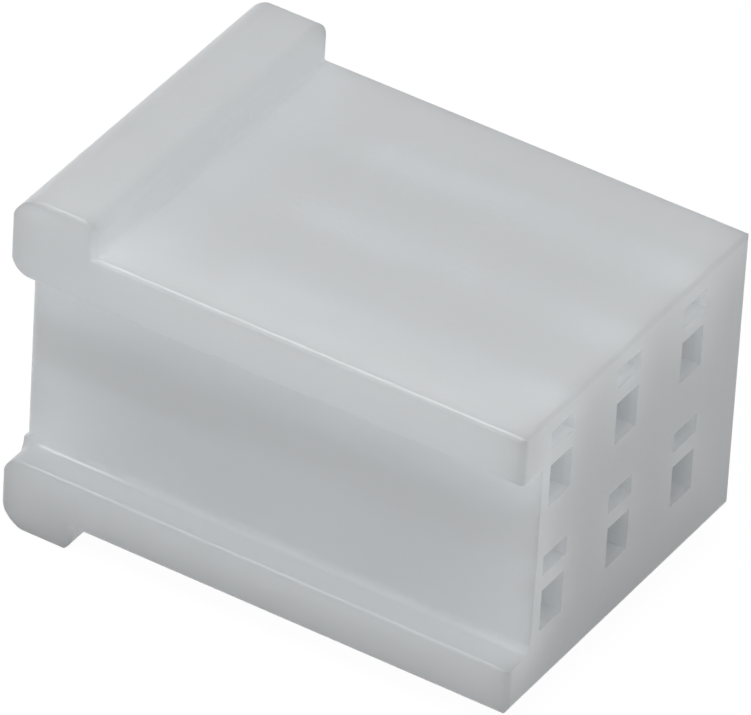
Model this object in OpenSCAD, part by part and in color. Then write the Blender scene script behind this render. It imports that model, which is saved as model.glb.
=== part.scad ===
/* [Contact layout] */
// Number of contact columns
columns = 3; // [2:1:8]
// Number of contact rows
rows = 2; // [1:1:3]
// Distance between neighbouring columns
column_pitch = 2; // [1.75:0.05:3]
// Distance between neighbouring rows
row_pitch = 2.5; // [2.2:0.05:4]

/* [Body] */
// Length from the wire side to the mating face
body_length = 9.7; // [8:0.1:16]
// Wall between the recessed end and the first cavity
near_wall = 0.12; // [0.1:0.01:1]
// Wall between the last cavity and the plain end
far_wall = 1.23; // [0.3:0.01:2]
// Wall above the lance room of the top row
roof_wall = 0.32; // [0.2:0.02:1]
// Wall under the cavities of the bottom row
floor_wall = 1; // [0.3:0.05:1.5]
// Wall between the cavities and the mating face
front_wall = 0.7; // [0.3:0.05:1.2]

/* [Rear lips] */
// How far the upper lip reaches forward from the wire side
upper_lip_length = 1.6; // [0.8:0.02:2.2]
// How far the upper lip stands above its broad face
upper_lip_height = 0.66; // [0.2:0.01:1.5]
// How far the lower lip reaches forward from the wire side
lower_lip_length = 1.36; // [0.8:0.02:2.2]
// How far the lower lip stands below its broad face
lower_lip_height = 0.48; // [0.2:0.01:1.5]
// Radius on the rear edges of the lips, in side view
rear_round = 0.6; // [0.05:0.01:0.6]
// Radius on the front edges of the lips, in side view
lip_round = 0.26; // [0.05:0.01:0.4]
// Radius on the lengthwise edges at the ends of the lips
lip_end_round = 0.06; // [0.02:0.01:0.3]
// Radius on the upright rear edges of the flange
rear_corner_round = 0.08; // [0.02:0.01:0.3]
// Fillet where a lip meets its broad face
lip_fillet = 0.1; // [0.02:0.01:0.2]

/* [Guide recess] */
// Depth of the recess along the near end
recess_depth = 0.63; // [0.3:0.01:0.9]
// Height of the rail above the recess
top_rail = 0.92; // [0.5:0.02:1.2]
// Height of the rail under the recess
bottom_rail = 0.9; // [0.5:0.02:1.2]
// Fillet between the lower rail and the web
ledge_fillet = 0.15; // [0.05:0.01:0.3]
// Fillet between the upper rail and the web
rail_fillet = 0.1; // [0.05:0.01:0.3]
// Radius on the rear ends of both rails beside the recess, in side view
rail_end_round = 0.38; // [0.05:0.01:0.5]
// Radius on the outer edges of both rails beside the recess
rail_round = 0.06; // [0.02:0.01:0.12]
// Radius on the upright rear edge of the web
web_round = 0.2; // [0.02:0.01:0.2]

/* [Cavities] */
// Width of each contact cavity
cavity_width = 0.9; // [0.8:0.02:1.4]
// Height of the seat for the contact's box
seat_height = 1.2; // [1:0.05:1.6]
// Extra height of the cavity behind the lance
wire_room = 0.28; // [0.05:0.01:0.4]
// Length of the taller part for the crimped wire
wire_length = 3.2; // [1.5:0.1:4]
// Height of the bevels over and under each wire entry
entry_bevel = 0.1; // [0.02:0.01:0.2]
// Depth of the bevels over and under each wire entry
entry_bevel_depth = 0.3; // [0.1:0.05:0.6]

/* [Lances] */
// Room above the seat in which the lance bends
lance_room = 0.5; // [0.35:0.01:0.6]
// Length of the lance from its root to its catch
lance_length = 3.2; // [2:0.1:4]
// Width of the lance
lance_width = 0.55; // [0.4:0.05:0.7]
// Thickness of the lance at its root
lance_thickness = 0.3; // [0.2:0.01:0.34]
// How far the catch hangs into the seat
lance_catch = 0.3; // [0.1:0.01:0.45]
// Length of the level underside behind the catch
catch_length = 0.5; // [0.2:0.05:1]
// Length of solid roof between the wire room and the bending room
root_length = 0.4; // [0.2:0.05:1]

/* [Mating face] */
// Width of each pin hole
pin_width = 0.65; // [0.4:0.01:0.85]
// Height of each pin hole
pin_height = 0.82; // [0.5:0.01:1]
// Width of the release slot above each pin hole
slot_width = 0.7; // [0.65:0.01:0.88]
// Height of the release slot above each pin hole
slot_height = 0.38; // [0.2:0.01:0.4]

/* [Edges] */
// Radius on the upper edges of the body
top_round = 0.08; // [0.02:0.01:0.2]
// Radius on the lower lengthwise edges of the body
bottom_round = 0.1; // [0.02:0.01:0.4]
// Radius on the lower edge of the mating face
front_round = 0.18; // [0.02:0.01:0.5]
// Radius on the upright edges of the mating face
corner_round = 0.12; // [0.02:0.01:0.2]

/* [Hidden] */
$fn = 48;

// Cutters reach this far past the faces they cut
over = 1;

near_margin = recess_depth + near_wall + cavity_width / 2;
far_margin = far_wall + cavity_width / 2;
body_width = near_margin + (columns - 1) * column_pitch + far_margin;
body_height = floor_wall + (rows - 1) * row_pitch + seat_height + lance_room + roof_wall;
cavity_length = body_length - front_wall;
lance_root_x = wire_length + root_length;
lance_tip_x = lance_root_x + lance_length;

// No rounded edge takes up more than these shares of a lip
rear_edge_share = 0.45;
front_edge_share = 0.5;
end_edge_share = 0.9;
rear_radius = min(rear_round, rear_edge_share * min(upper_lip_length, lower_lip_length));
// The fillet along a lip's foot stops short of the rounded lengthwise edges
edge_inset = max(top_round, bottom_round);

web_top = body_height - top_rail;

// The recess is cut from both rails, and each cut reaches well past the middle of the web
side_height = web_top - bottom_rail - max(ledge_fillet, rail_fillet);

function row_z(row) = floor_wall + seat_height / 2 + row * row_pitch;
function column_y(column) = near_margin + column * column_pitch;

// What a rounded corner takes off a corner whose sides run along +x and +y from the origin
module corner_waste(radius) {
    difference() {
        translate([-radius, -radius]) square(2 * radius);
        translate([radius, radius]) circle(radius);
    }
}

// A rectangle from the origin, with a radius for each corner:
// low left, low right, high right, high left
module rounded_rectangle(length, height, radii) {
    difference() {
        square([length, height]);
        if (radii[0] > 0) corner_waste(radii[0]);
        if (radii[1] > 0) translate([length, 0]) rotate(90) corner_waste(radii[1]);
        if (radii[2] > 0) translate([length, height]) rotate(180) corner_waste(radii[2]);
        if (radii[3] > 0) translate([0, height]) rotate(270) corner_waste(radii[3]);
    }
}

// Stands a side view (x, z) up and carries it along the width from y = 0
module along_y(width) {
    translate([0, width, 0]) rotate([90, 0, 0]) linear_extrude(width) children();
}

// Stands an end view (y, z) up and carries it along the length from x = 0
module along_x(length) {
    rotate([90, 0, 90]) linear_extrude(length) children();
}

// A block rounded in side view, end view and plan, with its low corner at the origin
module rounded_block(length, width, height, side_radii, end_radii, plan_radii) {
    intersection() {
        along_y(width) rounded_rectangle(length, height, side_radii);
        along_x(length) rounded_rectangle(width, height, end_radii);
        linear_extrude(height) rounded_rectangle(length, width, plan_radii);
    }
}

// The main block between the broad faces, which starts inside the lips
module body_block() {
    rear = min(upper_lip_length, lower_lip_length) / 2;
    translate([rear, 0, 0])
        rounded_block(body_length - rear, body_width, body_height,
            [0, front_round, top_round, 0],
            [bottom_round, bottom_round, top_round, top_round],
            [0, corner_round, corner_round, 0]);
}

// Half of the wire side, up to a lip that stands above z = 0
module lip(length, height) {
    depth = body_height / 2;
    front_radius = min(lip_round, front_edge_share * height);
    end_radius = min(lip_end_round, end_edge_share * height);
    foot_radius = min(lip_fillet, height - front_radius);
    translate([0, 0, -depth])
        rounded_block(length, body_width, depth + height,
            [0, 0, front_radius, rear_radius],
            [0, 0, end_radius, end_radius],
            [rear_corner_round, corner_round, corner_round, rear_corner_round]);
    translate([length, edge_inset, 0])
        along_y(body_width - 2 * edge_inset) corner_waste(foot_radius);
}

module lips() {
    translate([0, 0, body_height]) lip(upper_lip_length, upper_lip_height);
    mirror([0, 0, 1]) lip(lower_lip_length, lower_lip_height);
}

// End view of the open room beside a rail whose inner face lies along the x axis
module rail_room(fillet, height) {
    difference() {
        translate([-over, 0]) square([over + recess_depth, height]);
        translate([recess_depth, 0]) rotate(90) corner_waste(fillet);
    }
    rotate(270) corner_waste(rail_round);
}

// Carries that room round the rounded rear end of a rail whose inner face lies at z = 0
module rail_bend(fillet) {
    translate([rail_end_round, 0, -rail_end_round]) mirror([1, 0, 0]) rotate([0, -90, -90])
        rotate_extrude(angle = 90) translate([rail_end_round, 0]) mirror([1, -1])
            rail_room(fillet, rail_end_round + fillet);
}

// The side of the recess next to one rail
module rail_side(fillet) {
    translate([rail_end_round, 0, 0]) along_x(body_length) rail_room(fillet, side_height);
    rail_bend(fillet);
    translate([-over, -over, fillet])
        cube([over + body_length / 2, over + recess_depth, side_height - fillet]);
    // The web's rear edge is rounded as far as the fillet
    difference() {
        translate([0, recess_depth, 0]) linear_extrude(side_height) corner_waste(web_round);
        translate([rail_end_round, 0, -rail_end_round])
            rotate([-90, 0, 0]) cylinder(h = recess_depth + over, r = rail_end_round + fillet);
    }
}

module recess() {
    translate([0, 0, bottom_rail]) rail_side(ledge_fillet);
    translate([0, 0, web_top]) mirror([0, 0, 1]) rail_side(rail_fillet);
}

// One contact cavity, its pin hole and its release slot, with the pin at y = 0, z = 0
module cavity() {
    seat_roof = seat_height / 2;
    slot_floor = seat_roof + lance_room - slot_height;
    half_entry = cavity_width / 2;
    entry_roof = seat_roof + wire_room;
    flare = entry_bevel * (1 + over / entry_bevel_depth);
    // Seat for the contact's box
    translate([-over, -half_entry, -seat_roof])
        cube([cavity_length + over, cavity_width, seat_height]);
    // Taller part for the crimped wire
    translate([-over, -half_entry, -seat_roof])
        cube([wire_length + over, cavity_width, seat_height + wire_room]);
    // Bending room above the seat
    translate([lance_root_x, -slot_width / 2, 0])
        cube([cavity_length - lance_root_x, slot_width, seat_roof + lance_room]);
    // Release slot through the front wall
    translate([cavity_length - over, -slot_width / 2, slot_floor])
        cube([front_wall + 2 * over, slot_width, slot_height]);
    // Pin hole through the front wall
    translate([cavity_length - over, -pin_width / 2, -pin_height / 2])
        cube([front_wall + 2 * over, pin_width, pin_height]);
    // Bevels over and under the wire entry
    rotate([90, 0, 0]) linear_extrude(cavity_width, center = true) polygon([
        [-over, -seat_roof - flare],
        [entry_bevel_depth, -seat_roof],
        [entry_bevel_depth, entry_roof],
        [-over, entry_roof + flare]
    ]);
}

// The springy lance that hangs from the roof of a cavity and locks the contact
module lance() {
    seat_roof = seat_height / 2;
    lance_top = seat_roof + lance_thickness;
    lance_bottom = seat_roof - lance_catch;
    rotate([90, 0, 0]) linear_extrude(lance_width, center = true) polygon([
        [lance_root_x - root_length / 2, seat_roof],
        [lance_root_x, seat_roof],
        [lance_tip_x - catch_length, lance_bottom],
        [lance_tip_x, lance_bottom],
        [lance_tip_x, lance_bottom + lance_thickness],
        [lance_tip_x - catch_length, lance_bottom + lance_thickness],
        [lance_root_x, lance_top],
        [lance_root_x - root_length / 2, lance_top]
    ]);
}

module cavities() {
    for (row = [0 : rows - 1], column = [0 : columns - 1]) {
        translate([0, column_y(column), row_z(row)]) difference() {
            cavity();
            lance();
        }
    }
}

module housing() {
    color([0.93, 0.94, 0.94])
    translate([-body_length / 2, -body_width / 2, lower_lip_height]) difference() {
        union() {
            body_block();
            lips();
        }
        recess();
        cavities();
    }
}

housing();
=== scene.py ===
"""Looks of the wire to board connector housing: milky natural nylon under soft studio light."""
import math

import bpy
from mathutils import Matrix, Vector


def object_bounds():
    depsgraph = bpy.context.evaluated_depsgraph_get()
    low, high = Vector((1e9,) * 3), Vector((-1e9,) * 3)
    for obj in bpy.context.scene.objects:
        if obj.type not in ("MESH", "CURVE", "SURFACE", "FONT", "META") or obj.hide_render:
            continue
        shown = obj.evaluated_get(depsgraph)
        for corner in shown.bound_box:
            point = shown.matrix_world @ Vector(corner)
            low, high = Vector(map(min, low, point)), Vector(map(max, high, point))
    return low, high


MM = 0.001

# Camera: where it looks from in degrees, its roll, how far it stands off, and its framing
CAMERA_AZIMUTH = 30.42
CAMERA_ELEVATION = 36.76
CAMERA_ROLL = 3.49
CAMERA_DISTANCE = 196.7 * MM
CAMERA_LENS = 583.5
CAMERA_SENSOR = 36
CAMERA_SHIFT = (0.0019, 0.0061)
CAMERA_NEAREST = 1 * MM
CAMERA_FARTHEST = 10

# Nylon: colours are linear, and scattering reaches as far for red, green and blue
NYLON = (0.605, 0.62, 0.635)
NYLON_CLOUDY = (0.585, 0.605, 0.62)
NYLON_IOR = 1.5
SCATTER_RADIUS = (1.0, 1.0, 1.0)
SCATTER_SCALE = 2.2 * MM

# Clouding in the colour and the gloss, in clouds per metre
CLOUD_SCALE = 350
CLOUD_DETAIL = 4
ROUGHNESS_LOW = 0.28
ROUGHNESS_HIGH = 0.38

# Fine moulded texture of the skin, in grains per metre
GRAIN_SCALE = 9000
GRAIN_DETAIL = 3
GRAIN_STRENGTH = 0.15
GRAIN_DEPTH = 0.02 * MM

# Painted glow on the nylon, standing in for light scattered through it, low down and high up on the
# part: the top is painted lighter
PAINTED_GLOW_LOW = 0.0233
PAINTED_GLOW_HIGH = 0.133
# The block that holds the cavities, as insets from the low and the high corner of the part's box.
# The walls inside it get only a share of the painted glow, which paints shade into the cavities.
CORE_INSET_LOW = Vector((0.1, 0.69, 0.7)) * MM
CORE_INSET_HIGH = Vector((0.1, 0.14, 0.81)) * MM
CORE_EDGE = 0.06 * MM
CAVITY_WALL_GLOW_SHARE = 0.45

# Floor: the grey it shows to the lamps, and how much of it is hidden by white in the picture
FLOOR_GREY = 0.8
FLOOR_WHITE_SHARE = 0.9
FLOOR_WHITE = 1.07
FLOOR_REACH = 300 * MM
FLOOR_GAP = 0.02 * MM

# Light of the room, and of the background that the viewer sees
ROOM_LIGHT = 0.291
BACKGROUND_WHITE = 1


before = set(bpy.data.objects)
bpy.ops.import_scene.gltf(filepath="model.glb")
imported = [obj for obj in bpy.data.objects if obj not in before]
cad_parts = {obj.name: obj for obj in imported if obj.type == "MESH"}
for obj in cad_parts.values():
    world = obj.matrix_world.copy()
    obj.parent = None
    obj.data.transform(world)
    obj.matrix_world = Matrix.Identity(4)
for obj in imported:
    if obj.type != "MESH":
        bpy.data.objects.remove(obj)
cad_low, cad_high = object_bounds()
centre = (cad_low + cad_high) / 2


def direction(azimuth, elevation):
    """Unit vector from the object towards a viewer at this azimuth and elevation, in degrees."""
    a, e = math.radians(azimuth), math.radians(elevation)
    return Vector((math.sin(a) * math.cos(e), -math.cos(a) * math.cos(e), math.sin(e)))


def make_camera():
    back = direction(CAMERA_AZIMUTH, CAMERA_ELEVATION)
    level = Vector((0, 0, 1)).cross(back).normalized()
    upright = back.cross(level)
    roll = math.radians(CAMERA_ROLL)
    right = level * math.cos(roll) + upright * math.sin(roll)
    up = back.cross(right)
    turn = Matrix((right, up, back)).transposed().to_4x4()
    data = bpy.data.cameras.new("camera")
    data.lens = CAMERA_LENS
    data.sensor_width = CAMERA_SENSOR
    data.shift_x, data.shift_y = CAMERA_SHIFT
    data.clip_start, data.clip_end = CAMERA_NEAREST, CAMERA_FARTHEST
    camera = bpy.data.objects.new("camera", data)
    camera.matrix_world = Matrix.Translation(centre + back * CAMERA_DISTANCE) @ turn
    bpy.context.scene.collection.objects.link(camera)
    bpy.context.scene.camera = camera


def make_lamp(name, azimuth, elevation, distance, size, power, glint_only=False):
    """A soft square lamp that faces the object. A glint lamp adds highlights and no other light."""
    back = direction(azimuth, elevation)
    turn = back.to_track_quat("Z", "Y").to_matrix().to_4x4()
    data = bpy.data.lights.new(name, "AREA")
    data.shape = "SQUARE"
    data.size = size
    data.energy = power
    lamp = bpy.data.objects.new(name, data)
    lamp.visible_camera = False
    lamp.visible_diffuse = not glint_only
    lamp.matrix_world = Matrix.Translation(centre + back * distance) @ turn
    bpy.context.scene.collection.objects.link(lamp)


def empty_material(name):
    """A new material with no nodes, its nodes and its links."""
    material = bpy.data.materials.new(name)
    material.use_nodes = True
    nodes, links = material.node_tree.nodes, material.node_tree.links
    nodes.clear()
    return material, nodes, links


def pair(nodes, links, operation, first, second):
    """Two node outputs put together by a math operation."""
    node = nodes.new("ShaderNodeMath")
    node.operation = operation
    links.new(first, node.inputs[0])
    links.new(second, node.inputs[1])
    return node.outputs[0]


def ramp(nodes, links, value, start=0, end=1, low=0, high=1):
    """A value that goes from low to high while the given output goes from start to end."""
    node = nodes.new("ShaderNodeMapRange")
    node.inputs["From Min"].default_value = start
    node.inputs["From Max"].default_value = end
    node.inputs["To Min"].default_value = low
    node.inputs["To Max"].default_value = high
    links.new(value, node.inputs["Value"])
    return node.outputs["Result"]


def noise(nodes, links, place, scale, detail):
    """A noise between zero and one that lies fixed in the part."""
    node = nodes.new("ShaderNodeTexNoise")
    node.inputs["Scale"].default_value = scale
    node.inputs["Detail"].default_value = detail
    links.new(place, node.inputs["Vector"])
    return node.outputs["Fac"]


def mix_shaders(nodes, links, share, first, second):
    """The first shader where the share is zero and the second where it is one."""
    node = nodes.new("ShaderNodeMixShader")
    links.new(share, node.inputs["Fac"])
    links.new(first, node.inputs[1])
    links.new(second, node.inputs[2])
    return node.outputs[0]


def seen_by_viewer(nodes, links):
    """One for camera, glossy and transmitted rays, which see the white background."""
    rays = nodes.new("ShaderNodeLightPath").outputs
    straight_or_glossy = pair(nodes, links, "MAXIMUM", rays["Is Camera Ray"], rays["Is Glossy Ray"])
    return pair(nodes, links, "MAXIMUM", straight_or_glossy, rays["Is Transmission Ray"])


def make_world():
    """Even room light on the object, and white for whoever looks past it."""
    world = bpy.data.worlds.new("studio")
    world.use_nodes = True
    nodes, links = world.node_tree.nodes, world.node_tree.links
    nodes.clear()
    room = nodes.new("ShaderNodeBackground")
    room.inputs["Strength"].default_value = ROOM_LIGHT
    backdrop = nodes.new("ShaderNodeBackground")
    backdrop.inputs["Strength"].default_value = BACKGROUND_WHITE
    surface = mix_shaders(
        nodes, links, seen_by_viewer(nodes, links), room.outputs[0], backdrop.outputs[0]
    )
    output = nodes.new("ShaderNodeOutputWorld")
    links.new(surface, output.inputs["Surface"])
    bpy.context.scene.world = world


def floor_material():
    """Grey card, mostly hidden by white for the viewer, so that a faint shadow is left."""
    material, nodes, links = empty_material("floor")
    card = nodes.new("ShaderNodeBsdfDiffuse")
    card.inputs["Color"].default_value = (FLOOR_GREY, FLOOR_GREY, FLOOR_GREY, 1)
    white = nodes.new("ShaderNodeEmission")
    white.inputs["Strength"].default_value = FLOOR_WHITE
    share = ramp(nodes, links, seen_by_viewer(nodes, links), high=FLOOR_WHITE_SHARE)
    surface = mix_shaders(nodes, links, share, card.outputs[0], white.outputs[0])
    output = nodes.new("ShaderNodeOutputMaterial")
    links.new(surface, output.inputs["Surface"])
    return material


def make_floor():
    reach = FLOOR_REACH
    corners = [(-reach, -reach, 0), (reach, -reach, 0), (reach, reach, 0), (-reach, reach, 0)]
    mesh = bpy.data.meshes.new("floor")
    mesh.from_pydata(corners, [], [(0, 1, 2, 3)])
    mesh.materials.append(floor_material())
    floor = bpy.data.objects.new("floor", mesh)
    floor.location.z = cad_low.z - FLOOR_GAP
    bpy.context.scene.collection.objects.link(floor)


def painted_glow_mask(nodes, links, axes):
    """Mask of the painted glow: one on the outer skin of the part, and the core's share on the
    walls of its cavities, which paints shade there.
    """
    core_low = cad_low + CORE_INSET_LOW
    core_high = cad_high - CORE_INSET_HIGH
    steps = []
    for axis, low, high in zip("XYZ", core_low, core_high):
        steps.append(ramp(nodes, links, axes[axis], low, low + CORE_EDGE))
        steps.append(ramp(nodes, links, axes[axis], high, high - CORE_EDGE))
    inside = steps[0]
    for step in steps[1:]:
        inside = pair(nodes, links, "MULTIPLY", inside, step)
    # The cavity walls get less painted glow: painted shade in the cavities
    return ramp(nodes, links, inside, low=1, high=CAVITY_WALL_GLOW_SHARE)


def painted_glow(nodes, links, place):
    """Strength of the painted glow that stands in for light scattered through the nylon: more high
    up as painted top light, and less on the cavity walls as painted shade.
    """
    split = nodes.new("ShaderNodeSeparateXYZ")
    links.new(place, split.inputs[0])
    axes = split.outputs
    by_height = ramp(
        nodes, links, axes["Z"], cad_low.z, cad_high.z, PAINTED_GLOW_LOW, PAINTED_GLOW_HIGH
    )
    return pair(nodes, links, "MULTIPLY", by_height, painted_glow_mask(nodes, links, axes))


def nylon():
    """Milky nylon: faint clouding in the colour, a satin skin, a very fine moulded texture and a
    painted glow from within.
    """
    material, nodes, links = empty_material("nylon")
    place = nodes.new("ShaderNodeTexCoord").outputs["Object"]
    clouds = noise(nodes, links, place, CLOUD_SCALE, CLOUD_DETAIL)
    tint = nodes.new("ShaderNodeMix")
    tint.data_type = "RGBA"
    tint.inputs["A"].default_value = (*NYLON_CLOUDY, 1)
    tint.inputs["B"].default_value = (*NYLON, 1)
    links.new(clouds, tint.inputs["Factor"])
    skin = nodes.new("ShaderNodeBump")
    skin.inputs["Strength"].default_value = GRAIN_STRENGTH
    skin.inputs["Distance"].default_value = GRAIN_DEPTH
    links.new(noise(nodes, links, place, GRAIN_SCALE, GRAIN_DETAIL), skin.inputs["Height"])
    satin = ramp(nodes, links, clouds, low=ROUGHNESS_LOW, high=ROUGHNESS_HIGH)
    shader = nodes.new("ShaderNodeBsdfPrincipled")
    shader.subsurface_method = "BURLEY"
    shader.inputs["IOR"].default_value = NYLON_IOR
    shader.inputs["Subsurface Weight"].default_value = 1
    shader.inputs["Subsurface Radius"].default_value = SCATTER_RADIUS
    shader.inputs["Subsurface Scale"].default_value = SCATTER_SCALE
    links.new(tint.outputs["Result"], shader.inputs["Base Color"])
    links.new(tint.outputs["Result"], shader.inputs["Emission Color"])
    # Painted glow: emission standing in for light scattered through the nylon, brighter high up and
    # dimmer on the cavity walls
    links.new(painted_glow(nodes, links, place), shader.inputs["Emission Strength"])
    links.new(satin, shader.inputs["Roughness"])
    links.new(skin.outputs["Normal"], shader.inputs["Normal"])
    output = nodes.new("ShaderNodeOutputMaterial")
    links.new(shader.outputs[0], output.inputs["Surface"])
    return material


def dress_housing():
    material = nylon()
    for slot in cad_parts["housing"].material_slots:
        slot.material = material


make_camera()
make_world()
make_floor()
make_lamp("key", azimuth=-10, elevation=70, distance=120 * MM, size=80 * MM, power=0.0456)
make_lamp("low", azimuth=-20, elevation=2, distance=130 * MM, size=100 * MM, power=0.033)
make_lamp("back", azimuth=175, elevation=75, distance=130 * MM, size=100 * MM, power=0.033)
make_lamp(
    "edge", azimuth=-79, elevation=65.5, distance=130 * MM, size=30 * MM, power=0.05,
    glint_only=True,
)
dress_housing()

bpy.context.scene.view_settings.view_transform = "Standard"
